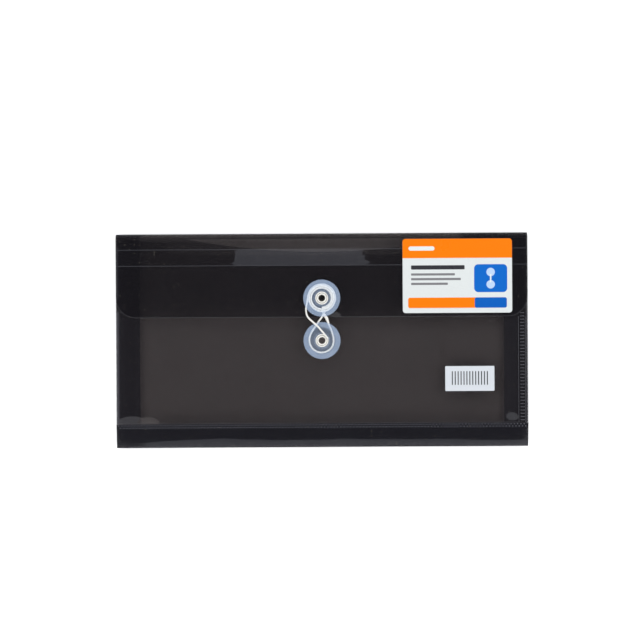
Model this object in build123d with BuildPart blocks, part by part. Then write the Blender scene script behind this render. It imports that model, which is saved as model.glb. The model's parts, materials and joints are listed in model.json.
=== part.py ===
from build123d import *
from math import asin, cos, degrees, pi, radians, sin, tan
import os

# String tie envelope: a folded see-through sheet pocket with gussets, a flap and two string buttons.
# It lies on its back: +X along its length, +Y towards the flap's fold, +Z out of its front.
# Millimetres. The origin is under the middle of the back panel.

os.makedirs("parts", exist_ok=True)

# Envelope
width = 254.0
height = 132.0
sheet = 0.2
loft = 5.2
gusset_depth = 14.8
fold_margin = 1.4  # a panel stops this far from a fold that lies over it
hinge_gap = 0.25  # a panel stops this far from a fold that leads away from it
crease_gap = 0.8  # the front half of a gusset stops this far from the shared crease
gusset_foot = 0.43  # the side gussets start this far above the bottom seam
gusset_head = 0.5  # and stop this far below the flap's fold

# Flap
flap_reach = 51.7
flap_corner = 12.3
fold_radius = 3.1
score_places = (9.8, 19.75)
score_width = 0.6
score_depth = 0.06
mouth_drop = 1.8
mouth_half = 91.0
mouth_dip = 9.6

# String buttons
upper_y = 26.0
lower_y = -0.1
disc_radius = 11.4
disc_thick = 0.7
disc_edge = 0.25
hub_radius = 5.1
hub_high = 2.35
hub_wall = 0.7
rib_count = 8
rib_thick = 0.6
bore_radius = 2.15
barrel_radius = 2.1
eyelet_hole = 1.85
flange_radius = 4.0
flange_thick = 0.45
flange_edge = 0.27
clinch_radius = 3.4
clinch_thick = 0.35
washer_radius = 4.5
washer_thick = 0.2
run_gap = 0.05

# String
string_d = 1.1
turn_pitch = 1.64
turn_quarters = 11
quarter_turn = 90
winding_start = 5.75
gap_samples = 480  # points along the winding where its gap to itself is measured
bend_share = 0.45  # share of the shorter run that a bend in the string takes
knot_centre = (1.2, 15.3)
knot_half = (1.5, 1.0)
tail_route = [
    (-9.8, 18.9, 7.65),
    (-8.3, 15.2, 8.1),
    (-5.1, 11.3, 9.3),
    (-0.9, 7.0, 9.5),
    (3.7, 1.3, 9.65),
]
loop_route = [
    (0.4, 15.2, 7.6),
    (-1.6, 11.9, 7.15),
    (-4.5, 8.2, 6.75),
    (-7.3, 4.2, 6.6),
    (-8.2, -0.9, 6.6),
    (-6.0, -5.6, 6.6),
    (-1.4, -8.0, 6.6),
    (3.7, -7.3, 6.6),
    (7.3, -3.7, 6.6),
    (7.8, 1.3, 6.6),
    (6.3, 5.9, 6.65),
    (4.3, 9.9, 6.95),
    (3.0, 12.7, 7.25),
    (2.0, 15.2, 7.6),
]

# Seams and labels
seam_width = 4.4
seam_outer = 125.4
bottom_seam = 2.8
bottom_seam_start = 0.4
header_size = (67.4, 45.7)
header_place = (83.6, 39.3)
header_corner = 1.8
price_size = (30.3, 15.35)
price_place = (91.0, -24.05)
price_corner = 0.8
label_thick = 0.1

# Folds at rest
half_width = width / 2
half_height = height / 2
fold_x = half_width - sheet / 2
back_mid = sheet / 2
front_mid = loft + sheet / 2
front_top = loft + sheet
rest_angle = degrees(asin((front_mid - back_mid) / 2 / gusset_depth))
crease_run = gusset_depth * cos(radians(rest_angle))
base_y = crease_run - half_height + sheet / 2  # line of the bottom seam
fold_y = half_height - fold_radius - sheet / 2  # centre of the flap's fold
fold_z = fold_radius + sheet / 2
flap_bottom = fold_z + fold_radius - sheet / 2
flap_top = flap_bottom + sheet
flap_edge_y = half_height - flap_reach
panel_half = fold_x - fold_margin
panel_base = base_y + hinge_gap
mouth_y = half_height - mouth_drop
gusset_base = base_y + gusset_foot
gusset_top = fold_y - gusset_head
gusset_high = gusset_top - gusset_base
string_r = string_d / 2

print(f"rest angle {rest_angle:.3f} deg, crease x {fold_x - crease_run:.3f}, seam y {base_y:.3f}")


def save(piece, name):
    piece.part.label = name
    export_step(piece.part, f"parts/{name}.step")


# Back panel, from the bottom seam to the flap's fold
with BuildPart() as back_panel:
    with BuildSketch():
        with Locations((0, (panel_base + fold_y - run_gap) / 2)):
            Rectangle(2 * panel_half, fold_y - run_gap - panel_base)
    extrude(amount=sheet)
save(back_panel, "back_panel")

# Front panel, with the wide shallow arc of the mouth and the lower button's hole
with BuildPart() as front_panel:
    with BuildSketch(Plane.XY.offset(loft)):
        with BuildLine():
            Line((-mouth_half, mouth_y), (-panel_half, mouth_y))
            Line((-panel_half, mouth_y), (-panel_half, panel_base))
            Line((-panel_half, panel_base), (panel_half, panel_base))
            Line((panel_half, panel_base), (panel_half, mouth_y))
            Line((panel_half, mouth_y), (mouth_half, mouth_y))
            ThreePointArc((mouth_half, mouth_y), (0, mouth_y - mouth_dip), (-mouth_half, mouth_y))
        make_face()
        with Locations((0, lower_y)):
            Circle(bore_radius, mode=Mode.SUBTRACT)
    extrude(amount=sheet)
save(front_panel, "front_panel")

# Flap, with round lower corners, two scores across it and the upper button's hole
with BuildPart() as flap:
    with BuildSketch(Plane.XY.offset(flap_bottom)):
        with Locations((0, (flap_edge_y + fold_y - run_gap) / 2)):
            flap_outline = Rectangle(2 * fold_x, fold_y - run_gap - flap_edge_y)
        fillet(flap_outline.vertices().group_by(Axis.Y)[0], flap_corner)
        with Locations((0, upper_y)):
            Circle(bore_radius, mode=Mode.SUBTRACT)
    extrude(amount=sheet)
    with BuildSketch(Plane.XY.offset(flap_top)):
        with Locations(*[(0, half_height - place) for place in score_places]):
            Rectangle(width, score_width)
    extrude(amount=-score_depth, mode=Mode.SUBTRACT)
save(flap, "flap")

# Flap fold, the half round that carries the sheet from the back panel over to the flap
with BuildPart() as flap_fold:
    with BuildSketch(Plane.YZ.offset(-fold_x)):
        with BuildLine():
            outer_bend = CenterArc((fold_y, fold_z), fold_radius + sheet / 2, -90, 180)
            inner_bend = CenterArc((fold_y, fold_z), fold_radius - sheet / 2, -90, 180)
            Line(outer_bend @ 0, inner_bend @ 0)
            Line(outer_bend @ 1, inner_bend @ 1)
        make_face()
    extrude(amount=2 * fold_x)
save(flap_fold, "flap_fold")


def gusset_half(name, section, long, far_bead):
    """One flat half of a gusset: a plate from its outer bead to the crease, along the section's normal."""
    plate_end = gusset_depth if far_bead else gusset_depth - crease_gap
    with BuildPart() as half:
        with BuildSketch(section):
            with Locations((plate_end / 2, 0)):
                Rectangle(plate_end, sheet)
            Circle(sheet / 2)
            if far_bead:
                with Locations((gusset_depth, 0)):
                    Circle(sheet / 2)
        extrude(amount=long)
    save(half, name)


# Side gussets fold inwards between the panels: the rear halves carry the creases
slope_x = cos(radians(rest_angle))
slope_z = sin(radians(rest_angle))
for side_name, side in (("left", -1), ("right", 1)):
    for half_name, start_z, climb in (("rear", back_mid, 1), ("front", front_mid, -1)):
        run_dir = Vector(-side * slope_x, 0, climb * slope_z)
        section = Plane(origin=(side * fold_x, gusset_base, start_z), x_dir=run_dir, z_dir=(0, 1, 0))
        gusset_half(f"{side_name}_gusset_{half_name}", section, gusset_high, half_name == "rear")

# Bottom gusset folds outwards below the seam, over the whole width
for half_name, start_z, climb in (("rear", back_mid, 1), ("front", front_mid, -1)):
    run_dir = Vector(0, -slope_x, climb * slope_z)
    section = Plane(origin=(-half_width, base_y, start_z), x_dir=run_dir, z_dir=(1, 0, 0))
    gusset_half(f"bottom_gusset_{half_name}", section, width, half_name == "rear")

# Bottom seam margin, the welded strip on the face of the bottom gusset's front half
face_plane = Plane(origin=(0, base_y, front_mid), x_dir=(1, 0, 0), z_dir=(0, -slope_z, slope_x))
with BuildPart() as bottom_seam_margin:
    with BuildSketch(face_plane.offset(sheet / 2)):
        with Locations((0, -bottom_seam_start - bottom_seam / 2)):
            Rectangle(2 * fold_x, bottom_seam)
    extrude(amount=sheet)
save(bottom_seam_margin, "bottom_seam_margin")

# Right seam margin, the welded strip on the front panel
with BuildPart() as right_seam_margin:
    with BuildSketch(Plane.XY.offset(front_top)):
        with Locations((seam_outer - seam_width / 2, (panel_base + mouth_y) / 2)):
            Rectangle(seam_width, mouth_y - panel_base)
    extrude(amount=sheet)
save(right_seam_margin, "right_seam_margin")


def string_button(name, centre_y, sheet_bottom):
    """A disc on a ribbed hub, the eyelet that it turns on and the washer behind the sheet."""
    sheet_top = sheet_bottom + sheet
    hub_base = sheet_top + run_gap
    disc_base = hub_base + hub_high
    flange_base = disc_base + disc_thick + run_gap
    clinch_base = sheet_bottom - washer_thick - clinch_thick

    with BuildPart() as disc:
        with BuildSketch(Plane.XY.offset(disc_base)):
            with Locations((0, centre_y)):
                Circle(disc_radius)
                Circle(bore_radius, mode=Mode.SUBTRACT)
        extrude(amount=disc_thick)
        rim = disc.edges().filter_by(GeomType.CIRCLE).group_by(SortBy.RADIUS)[-1]
        fillet(rim, disc_edge)
        with BuildSketch(Plane.XY.offset(hub_base)):
            with Locations((0, centre_y)):
                Circle(hub_radius)
                Circle(hub_radius - hub_wall, mode=Mode.SUBTRACT)
                Circle(bore_radius + hub_wall)
                Circle(bore_radius, mode=Mode.SUBTRACT)
            with Locations((0, centre_y)):
                with PolarLocations((hub_radius + bore_radius) / 2, rib_count):
                    Rectangle(hub_radius - bore_radius - hub_wall, rib_thick)
        extrude(amount=hub_high)
    save(disc, f"{name}_disc")

    section = Plane(origin=(0, centre_y, 0), x_dir=(1, 0, 0), z_dir=(0, -1, 0))
    with BuildPart() as eyelet:
        with BuildSketch(section):
            with BuildLine():
                Polyline(
                    (eyelet_hole, clinch_base),
                    (clinch_radius, clinch_base),
                    (clinch_radius, clinch_base + clinch_thick),
                    (barrel_radius, clinch_base + clinch_thick),
                    (barrel_radius, flange_base),
                    (flange_radius, flange_base),
                    (flange_radius, flange_base + flange_thick),
                    (eyelet_hole, flange_base + flange_thick),
                    close=True,
                )
            make_face()
        revolve(axis=Axis((0, centre_y, 0), (0, 0, 1)))
        flange_rim = eyelet.edges().filter_by(GeomType.CIRCLE).group_by(Axis.Z)[-1]
        fillet(flange_rim, flange_edge)
    save(eyelet, f"{name}_eyelet")

    with BuildPart() as washer:
        with BuildSketch(Plane.XY.offset(sheet_bottom)):
            with Locations((0, centre_y)):
                Circle(washer_radius)
                Circle(bore_radius, mode=Mode.SUBTRACT)
        extrude(amount=-washer_thick)
    save(washer, f"{name}_backing_washer")


string_button("upper", upper_y, flap_bottom)
string_button("lower", lower_y, loft)


def label(name, place, size, corner, base_z):
    """A thin stuck-on label with round corners."""
    with BuildPart() as sticker:
        with BuildSketch(Plane.XY.offset(base_z)):
            with Locations(place):
                RectangleRounded(*size, corner)
        extrude(amount=label_thick)
    save(sticker, name)


label("header_label", header_place, header_size, header_corner, flap_top)
label("price_label", price_place, price_size, price_corner, front_top)

# String winding: quarter turns round the upper hub, each a little larger than the one before
winding_z = flap_top + run_gap + hub_high / 2
quarter_step = turn_pitch / 4
with BuildPart() as string_winding:
    with BuildLine() as winding_path:
        arc_centre = Vector(0, upper_y, winding_z)
        arc_radius = winding_start
        arc_angle = -quarter_turn
        first_point = arc_centre + Vector(0, -arc_radius, 0)
        last_point = Line(first_point - Vector(string_d, 0, 0), first_point) @ 1
        for _ in range(turn_quarters):
            turn = CenterArc(arc_centre, arc_radius, arc_angle, quarter_turn)
            last_point = turn @ 1
            arc_angle += quarter_turn
            outward = Vector(cos(radians(arc_angle)), sin(radians(arc_angle)), 0)
            arc_centre = arc_centre - outward * quarter_step
            arc_radius += quarter_step
        winding_end = last_point - Vector(0, string_d, 0)
        Line(last_point, winding_end)
    with BuildSketch(Plane(first_point - Vector(string_d, 0, 0), z_dir=(1, 0, 0))):
        Circle(string_r)
    sweep(path=winding_path.wires()[0])
save(string_winding, "string_winding")


def report_tube(name, tube, wire, radii):
    """Prints a tube's radii and compares its volume with its section times its length."""
    share = tube.part.volume / (pi * string_r**2 * wire.length)
    print(f"{name}: length {wire.length:.1f}, volume share {share:.4f}, radii {[round(r, 1) for r in radii]}")


winding_wire = winding_path.wires()[0]
report_tube("string_winding", string_winding, winding_wire, [winding_start, arc_radius])
samples = [winding_wire.position_at(step / gap_samples) for step in range(gap_samples + 1)]
half_turn_steps = int(gap_samples * pi * winding_start / winding_wire.length)
least_gap = min(
    (samples[i] - samples[j]).length - string_d
    for i in range(0, gap_samples + 1, 2)
    for j in range(i + half_turn_steps, gap_samples + 1)
)
print(f"string_winding: least gap to itself {least_gap:.3f}")


def corner_radii(points):
    """The largest radius that both runs beside each corner have room for."""
    radii = []
    for before, corner, after in zip(points, points[1:], points[2:]):
        come = corner - before
        leave = after - corner
        turn_angle = radians(come.get_angle(leave))
        radii.append(bend_share * min(come.length, leave.length) / tan(turn_angle / 2))
    return radii


def string_run(name, route):
    """A length of string along a hand-chosen route."""
    points = [Vector(*place) for place in route]
    radii = corner_radii(points)
    with BuildPart() as tube:
        with BuildLine() as path:
            FilletPolyline(*points, radius=radii)
        with BuildSketch(Plane(points[0], z_dir=points[1] - points[0])):
            Circle(string_r)
        sweep(path=path.wires()[0])
    report_tube(name, tube, path.wires()[0], radii)
    save(tube, name)


# String tail: from the winding over the flap's edge and the lower disc to its cut end
string_run("string_tail", [tuple(winding_end), *tail_route])

# String loop: from the knot, round the lower hub under its disc, and back to the knot
string_run("string_loop", loop_route)

# String knot, drawn tight under the rim of the upper disc
knot_place = Vector(*knot_centre, winding_z)
with BuildPart() as string_knot:
    with BuildSketch(Plane(knot_place)):
        Ellipse(*knot_half)
        with Locations((0, -knot_half[1])):
            Rectangle(2 * knot_half[0], 2 * knot_half[1], mode=Mode.SUBTRACT)
    revolve(axis=Axis(knot_place, (1, 0, 0)))
save(string_knot, "string_knot")
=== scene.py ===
import json
import math

import bmesh
import bpy
from mathutils import Matrix, Vector, noise


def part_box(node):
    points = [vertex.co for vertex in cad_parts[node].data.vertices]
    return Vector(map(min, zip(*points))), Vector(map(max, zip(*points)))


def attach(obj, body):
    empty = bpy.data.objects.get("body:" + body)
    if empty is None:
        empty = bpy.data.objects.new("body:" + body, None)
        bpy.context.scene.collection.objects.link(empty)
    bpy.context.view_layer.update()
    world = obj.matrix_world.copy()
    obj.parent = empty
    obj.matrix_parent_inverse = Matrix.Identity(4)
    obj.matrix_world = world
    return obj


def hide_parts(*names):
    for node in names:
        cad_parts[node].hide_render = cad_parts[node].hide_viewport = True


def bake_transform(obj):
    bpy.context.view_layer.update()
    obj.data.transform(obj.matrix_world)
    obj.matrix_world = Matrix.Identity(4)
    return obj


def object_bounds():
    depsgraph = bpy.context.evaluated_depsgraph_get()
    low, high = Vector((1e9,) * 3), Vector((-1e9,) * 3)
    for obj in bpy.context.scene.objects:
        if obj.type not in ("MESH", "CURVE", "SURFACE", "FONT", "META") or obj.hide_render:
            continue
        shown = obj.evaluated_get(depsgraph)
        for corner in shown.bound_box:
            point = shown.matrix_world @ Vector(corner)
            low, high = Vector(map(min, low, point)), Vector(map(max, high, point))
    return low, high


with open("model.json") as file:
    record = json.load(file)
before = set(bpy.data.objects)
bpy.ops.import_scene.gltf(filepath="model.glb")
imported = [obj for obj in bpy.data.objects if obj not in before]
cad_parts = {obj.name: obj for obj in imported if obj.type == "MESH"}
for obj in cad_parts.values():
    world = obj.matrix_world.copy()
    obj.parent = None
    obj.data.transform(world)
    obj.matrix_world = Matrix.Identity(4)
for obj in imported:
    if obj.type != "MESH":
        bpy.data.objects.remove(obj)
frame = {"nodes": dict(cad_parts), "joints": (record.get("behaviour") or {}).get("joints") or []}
cadLow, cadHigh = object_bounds()
mm = 0.001
jointAt = {joint["name"]: Vector(joint["pos_m"]) for joint in frame["joints"] if "pos_m" in joint}

# where the sheet folds, read from the joints
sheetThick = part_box("back_panel")[1].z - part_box("back_panel")[0].z
foldX = -jointAt["pocket_expand"].x
creaseX = -jointAt["left_inner_fold"].x
creaseZ = jointAt["left_inner_fold"].z
backZ = jointAt["pocket_expand"].z
frontZ = jointAt["left_front_fold"].z
seamY = jointAt["bottom_rear_fold"].y
hemY = jointAt["bottom_outer_fold"].y
flapZ = (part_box("flap")[0].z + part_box("flap")[1].z) / 2
rollZ = (backZ + flapZ) / 2  # the middle of the rolled fold
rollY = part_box("flap_fold")[1].y - sheetThick / 2 - (flapZ - rollZ)
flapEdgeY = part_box("flap")[0].y
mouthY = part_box("front_panel")[1].y
upperAt = jointAt["upper_disc_spin"]
lowerAt = jointAt["lower_disc_spin"]


# camera and light

shot = {
    "mmPerPixel": 0.6165,
    "pixels": 640,
    "objectPixel": (322.0, 340.3),  # the envelope's middle in the picture
    "turn": 0.333,  # degrees, anticlockwise
    "lens": 120.0,
    "sensor": 36.0,
}


def makeCamera():
    data = bpy.data.cameras.new("camera")
    cam = bpy.data.objects.new("camera", data)
    bpy.context.scene.collection.objects.link(cam)
    data.lens = shot["lens"]
    data.sensor_width = shot["sensor"]
    span = shot["pixels"] * shot["mmPerPixel"] * mm
    middle = shot["pixels"] / 2
    across = (middle - shot["objectPixel"][0]) * shot["mmPerPixel"] * mm
    up = (shot["objectPixel"][1] - middle) * shot["mmPerPixel"] * mm
    turn = Matrix.Rotation(math.radians(-shot["turn"]), 3, "Z")
    aim = turn @ Vector((across, up, 0))
    cam.location = (aim.x, aim.y, frontZ + span * shot["lens"] / shot["sensor"])
    cam.rotation_euler = (0, 0, math.radians(-shot["turn"]))
    bpy.context.scene.camera = cam


lamps = {"count": 8, "reach": 1.3, "height": 0.95, "size": 0.95, "watts": 6.5}
surround = {"colour": (0.93, 0.96, 1.0), "strength": 0.23, "layers": 32}


def makeLights():
    for number in range(lamps["count"]):  # an even ring, none straight above the glossy sheet
        turn = 2 * math.pi * number / lamps["count"]
        at = Vector((lamps["reach"] * math.cos(turn), lamps["reach"] * math.sin(turn), lamps["height"]))
        data = bpy.data.lights.new(f"softLamp{number}", "AREA")
        data.shape = "DISK"
        data.size = lamps["size"]
        data.energy = lamps["watts"]
        light = bpy.data.objects.new(f"softLamp{number}", data)
        light.location = at
        light.visible_glossy = False  # soft light only, no lamp mirrored in the sheet
        light.rotation_euler = (-at).to_track_quat("-Z", "Y").to_euler()
        bpy.context.scene.collection.objects.link(light)
    world = bpy.data.worlds.new("studio")
    world.use_nodes = True
    backdrop = world.node_tree.nodes["Background"]
    backdrop.inputs["Color"].default_value = (*surround["colour"], 1)
    backdrop.inputs["Strength"].default_value = surround["strength"]
    bpy.context.scene.world = world
    bpy.context.scene.view_settings.view_transform = "Standard"
    bpy.context.scene.cycles.transparent_max_bounces = surround["layers"]  # of half-clear sheet in line


makeCamera()
makeLights()
print("camera and lamps set")


# node helpers

def newGroup(name, inputs, outputs):
    group = bpy.data.node_groups.new(name, "ShaderNodeTree")
    for label, kind, value in inputs:
        socket = group.interface.new_socket(label, in_out="INPUT", socket_type=kind)
        socket.default_value = value
    for label, kind in outputs:
        group.interface.new_socket(label, in_out="OUTPUT", socket_type=kind)
    start = group.nodes.new("NodeGroupInput")
    end = group.nodes.new("NodeGroupOutput")
    return group, start.outputs, end.inputs


def addNode(tree, kind, links=None, **settings):
    node = tree.nodes.new(kind)
    for key, value in settings.items():
        setattr(node, key, value)
    for socket, value in (links or {}).items():
        if isinstance(value, bpy.types.NodeSocket):
            tree.links.new(value, node.inputs[socket])
        else:
            node.inputs[socket].default_value = value
    return node


def useGroup(tree, group, links):
    return addNode(tree, "ShaderNodeGroup", links, node_tree=group).outputs


def mathNode(tree, operation, a, b=0.0, clamp=False):
    return addNode(tree, "ShaderNodeMath", {0: a, 1: b}, operation=operation, use_clamp=clamp).outputs[0]


def vectorNode(tree, operation, a, b=(0, 0, 0)):
    return addNode(tree, "ShaderNodeVectorMath", {0: a, 1: b}, operation=operation).outputs[0]


def rampNode(tree, value, low, high, fromValue=0.0, toValue=1.0):
    links = {"Value": value, "From Min": low, "From Max": high, "To Min": fromValue, "To Max": toValue}
    return addNode(tree, "ShaderNodeMapRange", links, interpolation_type="SMOOTHSTEP").outputs["Result"]


def mixColour(tree, mask, under, over):  # the numbers are the node's colour sockets
    return addNode(tree, "ShaderNodeMix", {0: mask, 6: under, 7: over}, data_type="RGBA").outputs[2]


def noiseNode(tree, place, scale, detail=2.0):
    links = {"Vector": place, "Scale": scale, "Detail": detail}
    return addNode(tree, "ShaderNodeTexNoise", links).outputs[0]


# shared effects

dust = {"colour": (0.13, 0.12, 0.10), "spacing": 330.0, "size": 0.16, "core": 0.02, "rare": 0.86}
gloss = {"cloud": 35.0, "streak": (30, 900, 30), "streakShare": 0.06, "from": 0.3, "to": 0.7}
litPatchEdge = 0.12  # share of a painted light patch over which it fades
crispEdge = 0.06  # mm


def buildDust():  # fine pale specks that lie on the sheet
    group, given, put = newGroup("dust", [("Place", "NodeSocketVector", (0, 0, 0))], [("Mask", "NodeSocketFloat")])
    links = {"Vector": given["Place"], "Scale": dust["spacing"]}
    cells = addNode(group, "ShaderNodeTexVoronoi", links, feature="F1", voronoi_dimensions="2D")
    pick = addNode(group, "ShaderNodeSeparateColor", {0: cells.outputs["Color"]}).outputs[0]
    chosen = rampNode(group, pick, dust["rare"], 1.0)
    speck = rampNode(group, cells.outputs["Distance"], dust["size"], dust["core"])
    group.links.new(mathNode(group, "MULTIPLY", chosen, speck), put["Mask"])
    return group


def buildScuff():  # slow cloudy change of gloss, with faint drawn lines
    inputs = [("Place", "NodeSocketVector", (0, 0, 0)), ("Low", "NodeSocketFloat", 0.2),
              ("High", "NodeSocketFloat", 0.3)]
    group, given, put = newGroup("scuff", inputs, [("Roughness", "NodeSocketFloat"), ("Cloud", "NodeSocketFloat")])
    cloud = noiseNode(group, given["Place"], gloss["cloud"], detail=3.0)
    streak = noiseNode(group, vectorNode(group, "MULTIPLY", given["Place"], gloss["streak"]), scale=1.0, detail=1.0)
    mostly = mathNode(group, "MULTIPLY", cloud, 1 - gloss["streakShare"])
    both = mathNode(group, "ADD", mostly, mathNode(group, "MULTIPLY", streak, gloss["streakShare"]))
    spread = addNode(group, "ShaderNodeMapRange", {"Value": both, "From Min": gloss["from"], "From Max": gloss["to"],
                                                   "To Min": given["Low"], "To Max": given["High"]})
    group.links.new(spread.outputs["Result"], put["Roughness"])
    group.links.new(cloud, put["Cloud"])
    return group


def buildLitPatch():  # a soft-cornered area with a wandering edge, painted lighter as sheen where two sheets cling together, and as light let in at the mouth
    inputs = [("Place", "NodeSocketVector", (0, 0, 0)), ("Centre", "NodeSocketVector", (0, 0, 0)),
              ("Half", "NodeSocketVector", (1, 1, 1)), ("Wander", "NodeSocketVector", (0, 0, 0)),
              ("Grain", "NodeSocketFloat", 100.0), ("Square", "NodeSocketFloat", 5.0)]
    group, given, put = newGroup("paintedLightPatch", inputs, [("Mask", "NodeSocketFloat")])
    shake = addNode(group, "ShaderNodeTexNoise", {"Vector": given["Place"], "Scale": given["Grain"], "Detail": 1.0})
    shift = vectorNode(group, "SUBTRACT", shake.outputs["Color"], (0.5, 0.5, 0.5))
    moved = vectorNode(group, "MULTIPLY", shift, given["Wander"])
    place = vectorNode(group, "ADD", vectorNode(group, "SUBTRACT", given["Place"], given["Centre"]), moved)
    share = vectorNode(group, "ABSOLUTE", vectorNode(group, "DIVIDE", place, given["Half"]))
    parts = addNode(group, "ShaderNodeSeparateXYZ", {0: share}).outputs
    wide = mathNode(group, "POWER", parts[0], given["Square"])
    tall = mathNode(group, "POWER", parts[1], given["Square"])
    mask = rampNode(group, mathNode(group, "ADD", wide, tall), 1 + litPatchEdge, 1 - litPatchEdge)
    group.links.new(mask, put["Mask"])
    return group


def buildBlock():  # a block with square or round corners and a crisp or soft edge
    inputs = [("Place", "NodeSocketVector", (0, 0, 0)), ("Centre", "NodeSocketVector", (0, 0, 0)),
              ("Half", "NodeSocketVector", (1, 1, 1)), ("Corner", "NodeSocketFloat", 0.0),
              ("Soft", "NodeSocketFloat", crispEdge * mm)]
    group, given, put = newGroup("flatBlock", inputs, [("Mask", "NodeSocketFloat")])
    away = vectorNode(group, "ABSOLUTE", vectorNode(group, "SUBTRACT", given["Place"], given["Centre"]))
    cornerVector = addNode(group, "ShaderNodeCombineXYZ", {0: given["Corner"], 1: given["Corner"]}).outputs[0]
    core = vectorNode(group, "ADD", vectorNode(group, "SUBTRACT", away, given["Half"]), cornerVector)
    over = vectorNode(group, "MULTIPLY", vectorNode(group, "MAXIMUM", core, (0, 0, 0)), (1, 1, 0))
    far = addNode(group, "ShaderNodeVectorMath", {0: over}, operation="LENGTH").outputs["Value"]
    parts = addNode(group, "ShaderNodeSeparateXYZ", {0: core}).outputs
    deep = mathNode(group, "MINIMUM", mathNode(group, "MAXIMUM", parts[0], parts[1]), 0.0)
    gap = mathNode(group, "SUBTRACT", mathNode(group, "ADD", far, deep), given["Corner"])
    inward = mathNode(group, "MULTIPLY", given["Soft"], -1.0)
    group.links.new(rampNode(group, gap, given["Soft"], inward), put["Mask"])
    return group


dustGroup = buildDust()
scuffGroup = buildScuff()
litPatchGroup = buildLitPatch()
blockGroup = buildBlock()


def newMaterial(name, roughness=0.4):
    material = bpy.data.materials.new(name)
    material.use_nodes = True
    tree = material.node_tree
    shader = tree.nodes["Principled BSDF"]
    shader.inputs["Roughness"].default_value = roughness
    place = tree.nodes.new("ShaderNodeTexCoord").outputs["Object"]
    return material, tree, shader, place


def shade(colour, share=1.0):
    return (*[part * share for part in colour], 1)


def flat(pair):  # a place or size on the sheet; the masks pass over the height
    return Vector((*pair, 1)) * mm


def mottled(name, low, high, grain, detail, roughness, alpha=1.0):  # two tones of one colour, in small clouds
    material, tree, shader, place = newMaterial(name, roughness)
    cloud = noiseNode(tree, place, grain, detail)
    tree.links.new(mixColour(tree, cloud, shade(low), shade(high)), shader.inputs["Base Color"])
    shader.inputs["Alpha"].default_value = alpha
    return material, tree, shader, cloud


# sheet material, one build for every fold of the body

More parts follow.
